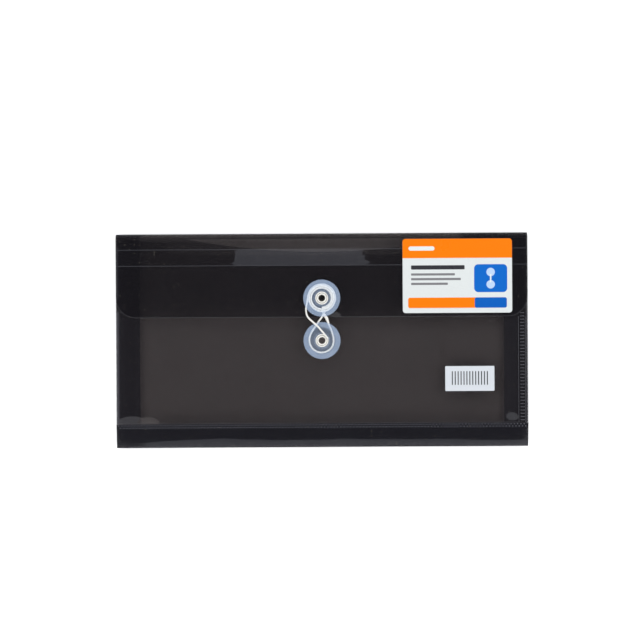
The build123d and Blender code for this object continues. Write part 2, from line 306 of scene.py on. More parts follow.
sheetLooks = {
    "frontSheet": {"tint": (0.0110, 0.0095, 0.0120), "alpha": 0.39, "rough": (0.19, 0.27), "litPatches": [
        # painted sheen where the front sheet clings to the sheets below
        {"centre": (-118.5, -49.2), "half": (7.6, 2.9), "wander": (3.0, 3.0), "grain": 90, "square": 2.5,
         "colour": (0.062, 0.060, 0.066)},
        {"centre": (-107.5, -50.2), "half": (6.4, 3.3), "wander": (2.0, 2.0), "grain": 110, "square": 2.2,
         "colour": (0.060, 0.055, 0.057)},
        {"centre": (117.3, -47.6), "half": (3.8, 2.3), "wander": (2.0, 2.0), "grain": 130, "square": 2.0,
         "colour": (0.060, 0.060, 0.066)},
    ], "paintedLightLines": [
        # painted highlights along the left and right edges and the bottom seam
        {"centre": (-126.0, -18.0), "half": (0.2, 36.0), "soft": 1.3, "colour": (0.17, 0.17, 0.20)},
        {"centre": (126.2, -18.0), "half": (0.2, 36.0), "soft": 0.5, "colour": (0.07, 0.07, 0.085)},
        {"centre": (0.0, -51.05), "half": (127.0, 0.12), "soft": 0.12, "colour": (0.085, 0.085, 0.10)},
    ]},
    "flapSheet": {"tint": (0.0064, 0.0055, 0.0080), "alpha": 0.40, "rough": (0.19, 0.27), "litPatches": [
        # painted sheen where the flap clings to the sheets below
        {"centre": (-13.2, 51.25), "half": (39.2, 5.0), "wander": (7.0, 0.5), "grain": 210, "square": 16.0,
         "colour": (0.046, 0.047, 0.056)},
        {"centre": (-51.5, 47.6), "half": (4.0, 1.5), "wander": (1.0, 0.6), "grain": 200, "square": 1.6,
         "colour": (0.046, 0.047, 0.056)},
        {"centre": (25.5, 47.9), "half": (4.2, 1.8), "wander": (1.0, 0.6), "grain": 200, "square": 1.6,
         "colour": (0.046, 0.047, 0.056)},
        {"centre": (7.9, 15.4), "half": (3.6, 1.9), "wander": (2.0, 2.0), "grain": 150, "square": 2.0,
         "colour": (0.060, 0.060, 0.064)},
    ], "paintedLightLines": [
        # painted highlights on the two scores and the left fold, and a painted lighter band where light comes in at
        # the mouth
        {"centre": (0.0, 56.2), "half": (127.0, 0.15), "soft": 0.09, "colour": (0.085, 0.088, 0.102)},
        {"centre": (0.0, 46.25), "half": (127.0, 0.15), "soft": 0.09, "colour": (0.085, 0.088, 0.102)},
        {"centre": (-126.0, 42.0), "half": (0.2, 16.0), "soft": 1.2, "colour": (0.05, 0.05, 0.06)},
        {"centre": (-13.0, 65.5), "half": (97.0, 1.0), "soft": 4.5, "colour": (0.098, 0.088, 0.091)},
    ], "edgeHighlight": {"corner": 12.3, "wide": 0.24, "tall": 100.0, "soft": 0.08, "colour": (0.10, 0.10, 0.11)}},
    "backSheet": {"tint": (0.0115, 0.0100, 0.0120), "alpha": 0.39, "rough": (0.19, 0.27), "litPatches": [], "paintedLightLines": []},
    "backInner": {"tint": (0.134, 0.070, 0.058), "alpha": 0.39, "rough": (0.19, 0.27), "litPatches": [
        # painted light over the mouth band, lifting the shadow that the roll and flap cast there
        {"centre": (0.0, 60.0), "half": (96.0, 7.0), "wander": (1.0, 1.0), "grain": 60, "square": 8.0,
         "colour": (0.500, 0.400, 0.380)},
    ], "paintedLightLines": []},
    "gussetSheet": {"tint": (0.0240, 0.0240, 0.0340), "alpha": 0.39, "rough": (0.19, 0.27), "litPatches": [], "paintedLightLines": [
        # painted lighter across the right gusset
        {"centre": (119.5, 0.0), "half": (9.0, 70.0), "soft": 0.5, "colour": (0.052, 0.052, 0.066)},
    ]},
    "hemSheet": {"tint": (0.0116, 0.0112, 0.0150), "alpha": 0.6, "rough": (0.18, 0.30), "litPatches": [
        # painted sheen along the bottom strip, where it clings to the sheets below
        {"centre": (9.0, -64.4), "half": (120.0, 3.3), "wander": (5.0, 4.0), "grain": 28, "square": 6.0,
         "colour": (0.038, 0.038, 0.045)},
    ], "paintedLightLines": [
        # a painted highlight along the hem, and painted shade along its lower edge
        {"centre": (0.0, -65.1), "half": (127.0, 0.1), "soft": 0.14, "colour": (0.075, 0.075, 0.088)},
        {"centre": (0.0, -65.85), "half": (127.0, 0.5), "soft": 0.1, "colour": (0.008, 0.007, 0.009)},
    ]},
    "seamSheet": {"tint": (0.0100, 0.0095, 0.0125), "alpha": 0.4, "rough": (0.2, 0.30), "litPatches": [], "paintedLightLines": []},
    "weldSheet": {"tint": (0.0105, 0.0103, 0.0140), "alpha": 0.9, "rough": (0.2, 0.30), "litPatches": [], "paintedLightLines": []},
    "foldSheet": {"tint": (0.0110, 0.0098, 0.0125), "alpha": 0.62, "rough": (0.44, 0.50), "gloss": 0.12,
                  "litPatches": [], "paintedLightLines": [
        # a painted lighter band where light comes in at the mouth, and a painted highlight along the top edge of the
        # roll
        {"centre": (-13.0, 65.5), "half": (97.0, 1.0), "soft": 4.0, "colour": (0.062, 0.054, 0.054)},
        {"centre": (0.0, 65.85), "half": (127.0, 0.1), "soft": 0.35, "colour": (0.30, 0.30, 0.34)},
    ]},
}
sheetFinish = {"darker": 0.82, "lighter": 1.18, "gloss": 0.5, "insideGloss": 0.08, "ior": 1.49}


def smokeSheet(name, inside=False):
    look = sheetLooks[name]
    material, tree, shader, place = newMaterial(name + ("Inside" if inside else ""))
    scuff = useGroup(tree, scuffGroup, {"Place": place, "Low": look["rough"][0], "High": look["rough"][1]})
    colour = mixColour(tree, scuff["Cloud"], shade(look["tint"], sheetFinish["darker"]),
                       shade(look["tint"], sheetFinish["lighter"]))
    # patches painted lighter: sheen where two sheets cling, and light let in at the mouth
    for litPatch in look["litPatches"]:
        links = {"Place": place, "Centre": flat(litPatch["centre"]), "Half": flat(litPatch["half"]),
                 "Wander": flat(litPatch["wander"]), "Grain": litPatch["grain"], "Square": litPatch["square"]}
        colour = mixColour(tree, useGroup(tree, litPatchGroup, links)["Mask"], colour, shade(litPatch["colour"]))
    for line in look["paintedLightLines"]:  # painted highlights where scores, creases and edges catch the light, painted lighter bands, and painted shade along the hem's edge
        links = {"Place": place, "Centre": flat(line["centre"]), "Half": flat(line["half"]), "Soft": line["soft"] * mm}
        colour = mixColour(tree, useGroup(tree, blockGroup, links)["Mask"], colour, shade(line["colour"]))
    if "edgeHighlight" in look:  # a painted highlight on the cut edge that goes round the flap
        edgeHighlight = look["edgeHighlight"]
        tall, wide = edgeHighlight["tall"] * mm, edgeHighlight["wide"] * mm
        links = {"Place": place, "Centre": (0, flapEdgeY + tall, 0), "Half": (foldX - wide, tall - wide, 1),
                 "Corner": edgeHighlight["corner"] * mm - wide, "Soft": edgeHighlight["soft"] * mm}
        colour = mixColour(tree, useGroup(tree, blockGroup, links)["Mask"], shade(edgeHighlight["colour"]), colour)
    specks = useGroup(tree, dustGroup, {"Place": place})["Mask"]
    tree.links.new(mixColour(tree, specks, colour, shade(dust["colour"])), shader.inputs["Base Color"])
    tree.links.new(scuff["Roughness"], shader.inputs["Roughness"])
    shine = sheetFinish["insideGloss"] if inside else look.get("gloss", sheetFinish["gloss"])
    shader.inputs["Specular IOR Level"].default_value = shine
    shader.inputs["Alpha"].default_value = look["alpha"]  # each sheet has two faces
    shader.inputs["IOR"].default_value = sheetFinish["ior"]
    return material


outerLooks = [name for name in sheetLooks if name != "backInner"]
innerLooks = [name for name in sheetLooks if name not in ("backSheet", "foldSheet")]
sheetMaterials = {name: smokeSheet(name) for name in outerLooks}
insideMaterials = {name: smokeSheet(name, inside=True) for name in innerLooks}  # less gloss, so the layers stay clear
rimHighlightLook = {"low": (0.10, 0.10, 0.115), "high": (0.20, 0.20, 0.22), "grain": 300.0, "detail": 2.0,
           "roughness": 0.45, "alpha": 0.7}
rimHighlightMaterial = mottled("cutEdgeHighlight", **rimHighlightLook)[0]  # the cut edge of the sheet, painted pale as a highlight
print("sheet materials built")


# mesh helpers

sameSpot = 1e-6  # metres


def newPiece(name, bm, *materials):
    mesh = bpy.data.meshes.new(name)
    bm.to_mesh(mesh)
    bm.free()
    piece = bpy.data.objects.new(name, mesh)
    bpy.context.scene.collection.objects.link(piece)
    for material in materials:
        mesh.materials.append(material)
    return piece


def bakeModifiers(piece, sharp=35):  # edges that turn more than so many degrees stay crisp
    bpy.context.view_layer.update()
    graph = bpy.context.evaluated_depsgraph_get()
    mesh = bpy.data.meshes.new_from_object(piece.evaluated_get(graph))
    piece.modifiers.clear()
    piece.data = mesh
    mesh.name = piece.name
    mesh.polygons.foreach_set("use_smooth", [True] * len(mesh.polygons))
    mesh.set_sharp_from_angle(angle=math.radians(sharp))
    return piece


def thicken(piece, inside=0):  # the flat sheet gets its real thickness, half to each side
    solid = piece.modifiers.new("thickness", "SOLIDIFY")
    solid.thickness = sheetThick
    solid.offset = 0
    solid.material_offset_rim = 1
    solid.material_offset = inside
    return bakeModifiers(piece)


def flatSheet(xLow, xHigh, yLow, yHigh, z, cols, rows):
    bm = bmesh.new()
    bmesh.ops.create_grid(bm, x_segments=cols, y_segments=rows, size=0.5)
    bmesh.ops.scale(bm, vec=(xHigh - xLow, yHigh - yLow, 1), verts=bm.verts)
    bmesh.ops.translate(bm, vec=((xLow + xHigh) / 2, (yLow + yHigh) / 2, z), verts=bm.verts)
    return bm


def cutAcross(bm, places, axis):
    normal = Vector((1, 0, 0)) if axis == 0 else Vector((0, 1, 0))
    for place in places:
        parts = bm.verts[:] + bm.edges[:] + bm.faces[:]
        bmesh.ops.bisect_plane(bm, geom=parts, dist=sameSpot, plane_co=normal * place, plane_no=normal)


def eyeletHole(bm, centre):  # a round hole, let into a square of the grid
    radius, cell = body["hole"] * mm, body["holeCell"] * mm
    cutAcross(bm, (centre.x - cell, centre.x + cell), 0)
    cutAcross(bm, (centre.y - cell, centre.y + cell), 1)

    def near(co):
        return max(abs(co.x - centre.x), abs(co.y - centre.y))

    inner = [face for face in bm.faces if near(face.calc_center_median()) < cell]
    bmesh.ops.delete(bm, geom=inner, context="FACES")
    reach = cell * body["holeSlack"]
    rim = [edge for edge in bm.edges if edge.is_boundary and max(near(v.co) for v in edge.verts) < reach]
    spot = Matrix.Translation((centre.x, centre.y, bm.verts[:][0].co.z))
    ring = bmesh.ops.create_circle(bm, segments=body["holeSides"], radius=radius, matrix=spot)["verts"]
    ringEdges = list({edge for vert in ring for edge in vert.link_edges})
    bmesh.ops.bridge_loops(bm, edges=rim + ringEdges)


# body of the envelope

body = {
    "cols": 51,
    "rows": 24,
    "flapRows": 12,
    "hole": 2.15,
    "holeCell": 2.46,
    "holeSlack": 1.01,  # finds the square's own edges
    "holeSides": 28,
    "mouthHalf": 91.0,
    "mouthDip": 9.6,
    "cornerSteps": range(10, 90, 10),  # degrees
    "scores": (56.2, 46.25),
    "scoreHalf": 0.3,
    "scoreDeep": 0.06,
    "rollSteps": 12,
    "gussetGrid": (6, 16),
    "gussetBow": 0.12,  # the fold springs a little
    "hemGrid": (40, 8),
    "waveGrain": 22.0,
    "still": 8.0,  # the waves die out this near to a fold or button
}
waves = {
    "front": {"depth": 0.16, "seed": 3.1, "low": seamY, "high": mouthY, "button": lowerAt},
    "flap": {"depth": 0.08, "seed": 7.7, "low": flapEdgeY, "high": rollY, "button": upperAt},
}


def makeWavy(bm, sheetName):  # the sheet is never quite flat, but lies still at its folds
    wave, still = waves[sheetName], body["still"] * mm
    for vert in bm.verts:
        x, y = vert.co.x, vert.co.y
        fromButton = (vert.co.to_2d() - wave["button"].to_2d()).length - still
        free = min(foldX - abs(x), abs(y - wave["low"]), abs(wave["high"] - y), fromButton) / still
        place = Vector((x * body["waveGrain"], y * body["waveGrain"], wave["seed"]))
        vert.co.z += wave["depth"] * mm * noise.noise(place) * min(1.0, max(0.0, free))


def addSheet(name, bm, look, rideOn, *nodes, inner=None):
    looks = [sheetMaterials[look], rimHighlightMaterial, insideMaterials[inner or look]]
    piece = thicken(newPiece(name, bm, *looks), inside=2)
    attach(piece, rideOn)
    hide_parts(*nodes)
    return piece


def backPanel():
    bm = flatSheet(-foldX, foldX, seamY, rollY, backZ, body["cols"], body["rows"])
    bmesh.ops.reverse_faces(bm, faces=bm.faces)  # the grid faces the table, its shell the pocket
    addSheet("backSheet", bm, "backSheet", "back", "back_panel", inner="backInner")


def frontPanel():
    half, dip = body["mouthHalf"] * mm, body["mouthDip"] * mm
    radius = (half * half + dip * dip) / (2 * dip)
    bm = flatSheet(-foldX, foldX, seamY, mouthY, frontZ, body["cols"], body["rows"])
    cutAcross(bm, (-half, half), 0)
    for vert in bm.verts:  # draw the mouth down to its arc, most at the top row
        if abs(vert.co.x) < half:
            drop = dip - radius + math.sqrt(radius * radius - vert.co.x * vert.co.x)
            share = max(0.0, (vert.co.y - lowerAt.y) / (mouthY - lowerAt.y))
            vert.co.y -= drop * share
    eyeletHole(bm, lowerAt)
    makeWavy(bm, "front")
    addSheet("frontSheet", bm, "frontSheet", "front", "front_panel")


def flapPanel():
    corner = sheetLooks["flapSheet"]["edgeHighlight"]["corner"] * mm
    bm = flatSheet(-foldX, foldX, flapEdgeY, rollY, flapZ, body["cols"], body["flapRows"])
    steps = [math.sin(math.radians(angle)) * corner for angle in body["cornerSteps"]]
    cutAcross(bm, [side * (foldX - corner + step) for side in (-1, 1) for step in [0, *steps]], 0)
    scoreLines = [score * mm for score in body["scores"]]
    scoreHalf = body["scoreHalf"] * mm
    for line in scoreLines:
        cutAcross(bm, (line - scoreHalf, line, line + scoreHalf), 1)
    cutAcross(bm, [flapEdgeY + corner], 1)
    for vert in bm.verts:  # round the two lower corners
        out = abs(vert.co.x) - (foldX - corner)
        if out > 0 and vert.co.y < flapEdgeY + corner:
            rise = corner - math.sqrt(max(0.0, corner * corner - out * out))
            share = (flapEdgeY + corner - vert.co.y) / corner
            vert.co.y += rise * share
    bmesh.ops.remove_doubles(bm, verts=bm.verts, dist=sameSpot)
    eyeletHole(bm, upperAt)
    makeWavy(bm, "flap")
    for vert in bm.verts:  # press the scores in
        if any(abs(vert.co.y - line) < scoreHalf / 10 for line in scoreLines):
            vert.co.z -= body["scoreDeep"] * mm
    addSheet("flapSheet", bm, "flapSheet", "flap", "flap")


def foldStrip(name, turnFrom, bodies, start, end, *nodes):  # a quarter of the roll over the top
    radius = flapZ - rollZ
    bm = bmesh.new()
    line = [bm.verts.new((x, rollY + radius * math.cos(turnFrom), rollZ + radius * math.sin(turnFrom)))
            for x in (-foldX, -foldX / 3, foldX / 3, foldX)]
    edges = [bm.edges.new(pair) for pair in zip(line, line[1:])]
    bmesh.ops.spin(bm, geom=line + edges, cent=(0, rollY, rollZ), axis=(1, 0, 0), angle=math.pi / 2,
                   steps=body["rollSteps"])
    bmesh.ops.remove_doubles(bm, verts=bm.verts, dist=sameSpot)
    bmesh.ops.recalc_face_normals(bm, faces=bm.faces)
    piece = thicken(newPiece(name, bm, sheetMaterials["foldSheet"], rimHighlightMaterial))
    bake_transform(piece)
    if nodes:
        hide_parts(*nodes)


def gussets():
    yLow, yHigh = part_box("left_gusset_rear")[0].y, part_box("left_gusset_rear")[1].y
    halves = (("rear", backZ, -1), ("front", frontZ, 1))
    for sideName, side in (("left", -1), ("right", 1)):
        for halfName, rootZ, outward in halves:
            node = f"{sideName}_gusset_{halfName}"
            bm = flatSheet(0, 1, yLow, yHigh, 0, *body["gussetGrid"])
            for vert in bm.verts:
                share = vert.co.x
                bow = math.sin(math.pi * share) * body["gussetBow"] * mm
                vert.co.x = side * (foldX + (creaseX - foldX) * share)
                vert.co.z = rootZ + (creaseZ - rootZ) * share + outward * bow
            addSheet(f"{sideName}Gusset{halfName.title()}", bm, "gussetSheet", node, node)
    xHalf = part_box("bottom_gusset_rear")[1].x
    for halfName, rootZ, _ in halves:
        node = f"bottom_gusset_{halfName}"
        bm = flatSheet(-xHalf, xHalf, 0, 1, 0, *body["hemGrid"])
        for vert in bm.verts:
            share = vert.co.y
            vert.co.y = seamY + (hemY - seamY) * share
            vert.co.z = rootZ + (creaseZ - rootZ) * share
        addSheet(f"bottomGusset{halfName.title()}", bm, "hemSheet", node, node)


backPanel()
frontPanel()
flapPanel()
foldStrip("foldRollLower", -math.pi / 2, ("back", "fold"), (0, rollY, backZ), (0, rollY, rollZ), "flap_fold")
foldStrip("foldRollUpper", 0, ("fold", "flap"), (0, rollY, rollZ), (0, rollY, flapZ))
gussets()
print("folded body built")


# welded seams

seam = {
    "pitch": 2.0,
    "dotHigh": 0.13,
    "bar": (2.6, 0.55),
    "barEnd": (0.8, 0.75),
    "barReach": 0.95,
    "barFrom": (2.45, 1.4),  # the first bar, from the strip's corner
    "barsPastFlap": 4.0,
    "rightGrid": (4, 40),
    "ridge": 0.22,
    "ridgeHigh": 0.1,
    "ridgeDeep": 0.02,
    "ridgeCuts": 24,
    "dot": (0.95, 0.85),
    "dotRows": (-0.35, -1.75),  # from the strip's upper edge
    "dotFrom": 1.2,
    "dotEnd": 1.0,
    "bottomWide": 2.8,
    "bottomGrid": (60, 3),
}
weldBar = {"low": (0.048, 0.048, 0.056), "high": (0.095, 0.095, 0.108), "grain": 700.0, "detail": 2.0,
           "roughness": 0.3}
weldDot = {**weldBar, "low": (0.056, 0.056, 0.068), "high": (0.090, 0.090, 0.106)}


def addDot(bm, place, size):  # a low dome left by the welding die
    made = bmesh.ops.create_icosphere(bm, subdivisions=1, radius=0.5)["verts"]
    bmesh.ops.scale(bm, vec=Vector((*size, 2 * seam["dotHigh"])) * mm, verts=made)
    bmesh.ops.translate(bm, vec=place, verts=made)


def addRidge(bm, x, yLow, yHigh, z):  # a narrow bar along the strip
    low = Vector((x, yLow, z - seam["ridgeDeep"] * mm))
    high = Vector((x + seam["ridge"] * mm, yHigh, z + seam["ridgeHigh"] * mm))
    made = bmesh.ops.create_cube(bm, size=1)["verts"]
    bmesh.ops.scale(bm, vec=high - low, verts=made)
    bmesh.ops.translate(bm, vec=(low + high) / 2, verts=made)
    long = [edge for edge in {e for v in made for e in v.link_edges} if edge.calc_length() > (yHigh - yLow) / 2]
    bmesh.ops.subdivide_edges(bm, edges=long, cuts=seam["ridgeCuts"], use_grid_fill=True)


def addMarks(name, bm, material, rideOn):
    piece = newPiece(name, bm, material)
    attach(piece, rideOn)


def rightSeam():
    low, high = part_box("right_seam_margin")
    bm = flatSheet(low.x, high.x, low.y, high.y, (low.z + high.z) / 2, *seam["rightGrid"])
    makeWavy(bm, "front")
    addSheet("rightSeamStrip", bm, "seamSheet", "front", "right_seam_margin")
    marks = bmesh.new()
    x, y = low.x + seam["barFrom"][0] * mm, low.y + seam["barFrom"][1] * mm
    while y < flapEdgeY + seam["barsPastFlap"] * mm:
        addDot(marks, (x, y, high.z), seam["bar"])
        for side in (-1, 1):
            addDot(marks, (x + side * seam["barReach"] * mm, y, high.z), seam["barEnd"])
        y += seam["pitch"] * mm
    for x in (low.x, high.x - seam["ridge"] * mm):
        addRidge(marks, x, low.y, flapEdgeY, high.z)
    makeWavy(marks, "front")
    addMarks("rightSeamMarks", marks, mottled("weldBar", **weldBar)[0], "front")


def bottomSeam():
    low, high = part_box("bottom_seam_margin")
    slope = math.atan2(frontZ - creaseZ, seamY - hemY)  # the strip leans with the gusset
    bm = flatSheet(low.x, high.x, -seam["bottomWide"] * mm, 0, 0, *seam["bottomGrid"])
    place = Matrix.Translation((0, high.y, high.z - sheetThick / 2)) @ Matrix.Rotation(slope, 4, "X")
    bmesh.ops.transform(bm, matrix=place, verts=bm.verts)
    addSheet("bottomSeamStrip", bm, "weldSheet", "bottom_gusset_front", "bottom_seam_margin")
    marks = bmesh.new()
    pitch = seam["pitch"] * mm
    x = low.x + seam["dotFrom"] * mm
    while x < high.x - seam["dotEnd"] * mm:
        for shift, row in zip((0, pitch / 2), seam["dotRows"]):  # two staggered rows
            addDot(marks, (x + shift, row * mm, sheetThick / 2), seam["dot"])
        x += pitch
    bmesh.ops.transform(marks, matrix=place, verts=marks.verts)
    addMarks("bottomSeamMarks", marks, mottled("weldDot", **weldDot)[0], "bottom_gusset_front")


rightSeam()
bottomSeam()
print("seams built")


# string buttons

button = {
    "segments": 72,
    "discRadius": 11.4,
    "plate": 0.7,
    "plateRings": 12,
    "boreEdge": (0.08, 0.06),
    "rim": [(0.35, 0.0), (0.1, 0.1), (0.0, 0.3), (0.06, 0.52)],  # in from the edge, down from the top
    "rimFoot": 0.3,
    "hubRadius": 5.1,
    "hubInner": 4.4,
    "hubRings": (1.5, 0.7, 0.0),
    "hubTaper": 0.08,
    "hubFoot": (0.1, 0.25),
    "sleeve": 2.85,
    "bore": 2.15,
    "hubHigh": 2.35,
    "gap": 0.05,
    "joint": 0.01,
    "ribs": 8,
    "ribThick": 0.6,
    "ribShort": 0.1,
}
discLook = {
    "low": (0.47, 0.63, 0.90),
    "high": (0.60, 0.74, 0.97),
    "flow": (0.78, 0.86, 0.98),
    "grain": (260.0, 900.0),
    "flowFrom": (0.60, 0.8),
    "clear": 0.065,
    "milky": 0.205,
    "clearTo": 7.2,
    "milkyFrom": 8.9,
    "uneven": 0.05,
    "roughness": 0.28,
    "ior": 1.47,
}
ribLook = {"low": (0.50, 0.62, 0.84), "high": (0.72, 0.80, 0.95), "grain": 500.0, "detail": 3.0,
           "roughness": 0.3, "alpha": 0.17}
washerLook = {"low": (0.30, 0.33, 0.40), "high": (0.45, 0.48, 0.55), "grain": 500.0, "detail": 3.0,
              "roughness": 0.3, "alpha": 0.3}
metalLook = {"low": (0.90, 0.88, 0.82), "high": (0.98, 0.97, 0.93), "grain": 400.0, "detail": 3.0, "roughness": 0.38}
grooveShadeLook = {**metalLook, "low": (0.03, 0.025, 0.018), "high": (0.06, 0.05, 0.04)}  # painted shade in the rolled groove and down the throat
metalFinish = {"metallic": 0.3, "cloud": (0.3, 0.7), "rough": (0.34, 0.46)}
eyelet = {
    "segments": 48,
    "foot": [(1.85, 0.1), (2.1, 0.0), (3.2, 0.0), (3.4, 0.17), (3.2, 0.34), (2.1, 0.35)],  # up from its lowest point
    "head": [(2.1, 0.0), (4.0, 0.0), (4.0, 0.16), (3.88, 0.34), (3.6, 0.42), (3.34, 0.34), (3.24, 0.12), (3.02, 0.08),
             (2.84, 0.14), (2.76, 0.36), (2.42, 0.45), (2.08, 0.36), (1.85, 0.08)],  # up from the disc
    "throat": 2.0,
    "groove": (3.05, 3.25),
}


def spinOutline(bm, outline, centre, segments):  # a closed outline of (radius, height) turned once round
    verts = [bm.verts.new((centre.x + r * mm, centre.y, z * mm)) for r, z in outline]
    edges = [bm.edges.new(pair) for pair in zip(verts, verts[1:] + verts[:1])]
    bmesh.ops.spin(bm, geom=verts + edges, cent=(centre.x, centre.y, 0), axis=(0, 0, 1), angle=2 * math.pi,
                   steps=segments, use_merge=True)
    bmesh.ops.remove_doubles(bm, verts=bm.verts, dist=sameSpot / 10)
    bmesh.ops.recalc_face_normals(bm, faces=bm.faces)


def discMaterial():  # milky clear plastic, clearest over the hub
    material, tree, shader, place = newMaterial("milkyDisc", discLook["roughness"])
    reach = addNode(tree, "ShaderNodeAttribute", attribute_name="reach").outputs["Fac"]
    cloud = noiseNode(tree, place, discLook["grain"][0], detail=3.0)
    flow = noiseNode(tree, place, discLook["grain"][1], detail=2.0)
    colour = mixColour(tree, cloud, shade(discLook["low"]), shade(discLook["high"]))
    colour = mixColour(tree, rampNode(tree, flow, *discLook["flowFrom"]), colour, shade(discLook["flow"]))
    tree.links.new(colour, shader.inputs["Base Color"])
    milk = rampNode(tree, reach, discLook["clearTo"] * mm, discLook["milkyFrom"] * mm,
                    discLook["clear"], discLook["milky"])
    uneven = mathNode(tree, "MULTIPLY", cloud, discLook["uneven"])
    tree.links.new(mathNode(tree, "ADD", milk, uneven), shader.inputs["Alpha"])
    shader.inputs["IOR"].default_value = discLook["ior"]
    return material


def ribMaterial():  # the same plastic where it stands deep
    material, tree, shader, cloud = mottled("milkyRib", **ribLook)
    shader.inputs["IOR"].default_value = discLook["ior"]
    return material


def metalMaterial(name, look):  # plated and a little handled
    material, tree, shader, cloud = mottled(name, **look)
    rough = rampNode(tree, cloud, *metalFinish["cloud"], *metalFinish["rough"])
    tree.links.new(rough, shader.inputs["Roughness"])
    shader.inputs["Metallic"].default_value = metalFinish["metallic"]
    return material


discMaterials = (discMaterial(), ribMaterial())
eyeletMaterials = (metalMaterial("eyeletMetal", metalLook), metalMaterial("eyeletGrooveShade", grooveShadeLook))
washerMaterial = mottled("clearWasher", **washerLook)[0]


def markReach(piece, centre):  # how far each point lies from the turning axis
    reach = piece.data.attributes.new("reach", "FLOAT", "POINT")
    out = [(vert.co.to_2d() - centre.to_2d()).length for vert in piece.data.vertices]
    reach.data.foreach_set("value", out)


def buttonDisc(name, centre, foot):  # returns the height of its top
    bore, sleeve, inner, hub = button["bore"], button["sleeve"], button["hubInner"], button["hubRadius"]
    radius, rings = button["discRadius"], button["plateRings"]
    under = foot + button["hubHigh"]
    top = under + button["plate"]
    root = under - button["joint"]
    plate = [(bore, top - button["boreEdge"][1]), (bore + button["boreEdge"][0], top)]
    plate += [(bore + (radius - bore) * ring / rings, top) for ring in range(1, rings)]
    plate += [(radius - inset, top - drop) for inset, drop in button["rim"]]
    below = [radius - button["rimFoot"], *[hub + out for out in button["hubRings"]], inner, sleeve, bore]
    plate += [(reach, under) for reach in below]
    footIn, footUp = button["hubFoot"]
    hubRing = [(hub - button["hubTaper"], root), (hub, foot + footUp), (hub - footIn, foot), (inner, foot),
               (inner, root)]
    sleeveRing = [(sleeve, root), (sleeve, foot), (bore, foot), (bore, root)]
    bm = bmesh.new()
    spinOutline(bm, plate, centre, button["segments"])
    plateFaces = set(bm.faces)
    spinOutline(bm, hubRing, centre, button["segments"])
    spinOutline(bm, sleeveRing, centre, button["segments"])
    size = Vector((inner - sleeve, button["ribThick"], button["hubHigh"] - button["ribShort"])) * mm
    for rib in range(button["ribs"]):
        made = bmesh.ops.create_cube(bm, size=1)["verts"]
        bmesh.ops.scale(bm, vec=size, verts=made)
        bmesh.ops.translate(bm, vec=Vector(((inner + sleeve) / 2, 0, (foot + under) / 2)) * mm, verts=made)
        turn = Matrix.Rotation(2 * math.pi * (rib + 0.5) / button["ribs"], 3, "Z")
        bmesh.ops.rotate(bm, cent=(0, 0, 0), matrix=turn, verts=made)
        bmesh.ops.translate(bm, vec=(centre.x, centre.y, 0), verts=made)
    for face in bm.faces:
        face.material_index = 0 if face in plateFaces else 1
    disc = bakeModifiers(newPiece(f"{name}Disc", bm, *discMaterials), sharp=30)
    markReach(disc, centre)
    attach(disc, f"{name}_disc")
    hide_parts(f"{name}_disc")
    return top


def rolledEyelet(name, centre, seat, rideOn):
    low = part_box(f"{name}_eyelet")[0].z / mm
    grooveFrom, grooveTo = eyelet["groove"]
    bm = bmesh.new()
    outline = [(r, low + z) for r, z in eyelet["foot"]] + [(r, seat + z) for r, z in eyelet["head"]]
    spinOutline(bm, outline, centre, eyelet["segments"])
    for face in bm.faces:
        middle = face.calc_center_median()
        out = (middle - centre).to_2d().length / mm
        # the throat and the rolled groove take the painted shade
        if middle.z > seat * mm and (out < eyelet["throat"] or grooveFrom < out < grooveTo):
            face.material_index = 1
    piece = bakeModifiers(newPiece(f"{name}Eyelet", bm, *eyeletMaterials), sharp=50)
    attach(piece, rideOn)
    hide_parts(f"{name}_eyelet")


def stringButton(name, rideOn, sheetZ):
    centre = jointAt[f"{name}_disc_spin"]
    top = buttonDisc(name, centre, (sheetZ + sheetThick / 2) / mm + button["gap"])
    rolledEyelet(name, centre, top + button["gap"], rideOn)
    washer = frame["nodes"][f"{name}_backing_washer"].data  # the solid itself shows through the sheet
    washer.materials.clear()
    washer.materials.append(washerMaterial)


stringButton("upper", "flap", flapZ)
stringButton("lower", "front", frontZ)
print("buttons built")


# string

string = {
    "diameter": 1.1,
    "smooth": 8,
    "sides": 4,
    "perTurn": 16,
    "wind": [(0.0, 5.85, 8.1), (1.0, 6.97, 8.15), (2.0, 8.3, 8.12), (2.75, 8.75, 8.0)],  # turns made, radius, height
    "tail": [(-9.3, 22.4, 7.8), (-9.9, 18.3, 7.7), (-8.9, 14.2, 8.2), (-5.1, 11.0, 9.3), (-0.9, 7.0, 9.5),
             (3.8, 0.9, 9.65)],
    "loop": [(2.1, 18.7, 7.0), (1.5, 16.7, 7.2), (0.2, 14.6, 7.5), (-1.9, 11.8, 7.15), (-4.4, 8.0, 6.75),
             (-7.0, 4.2, 6.6), (-8.1, -0.4, 6.6), (-6.3, -5.2, 6.6), (-1.8, -7.8, 6.6), (3.2, -7.1, 6.6),
             (6.8, -3.8, 6.6), (7.3, 1.0, 6.6), (6.0, 5.6, 6.65), (4.5, 9.4, 6.95), (3.0, 12.6, 7.25),
             (2.0, 14.6, 7.5), (0.9, 16.7, 7.2), (0.3, 18.7, 7.0)],
    "knotAt": (1.2, 15.6, 7.625),  # midway between the flap and the upper disc
    "knotHalf": (1.242, 1.058, 0.92),
    "knotGrid": (20, 12),
    "knotRib": 0.10,
    "knotTwist": 9,
    "knotEnd": [(1.9, 15.4, 7.9), (3.3, 14.0, 7.95), (3.6, 12.2, 8.0), (4.1, 10.6, 8.05)],
}
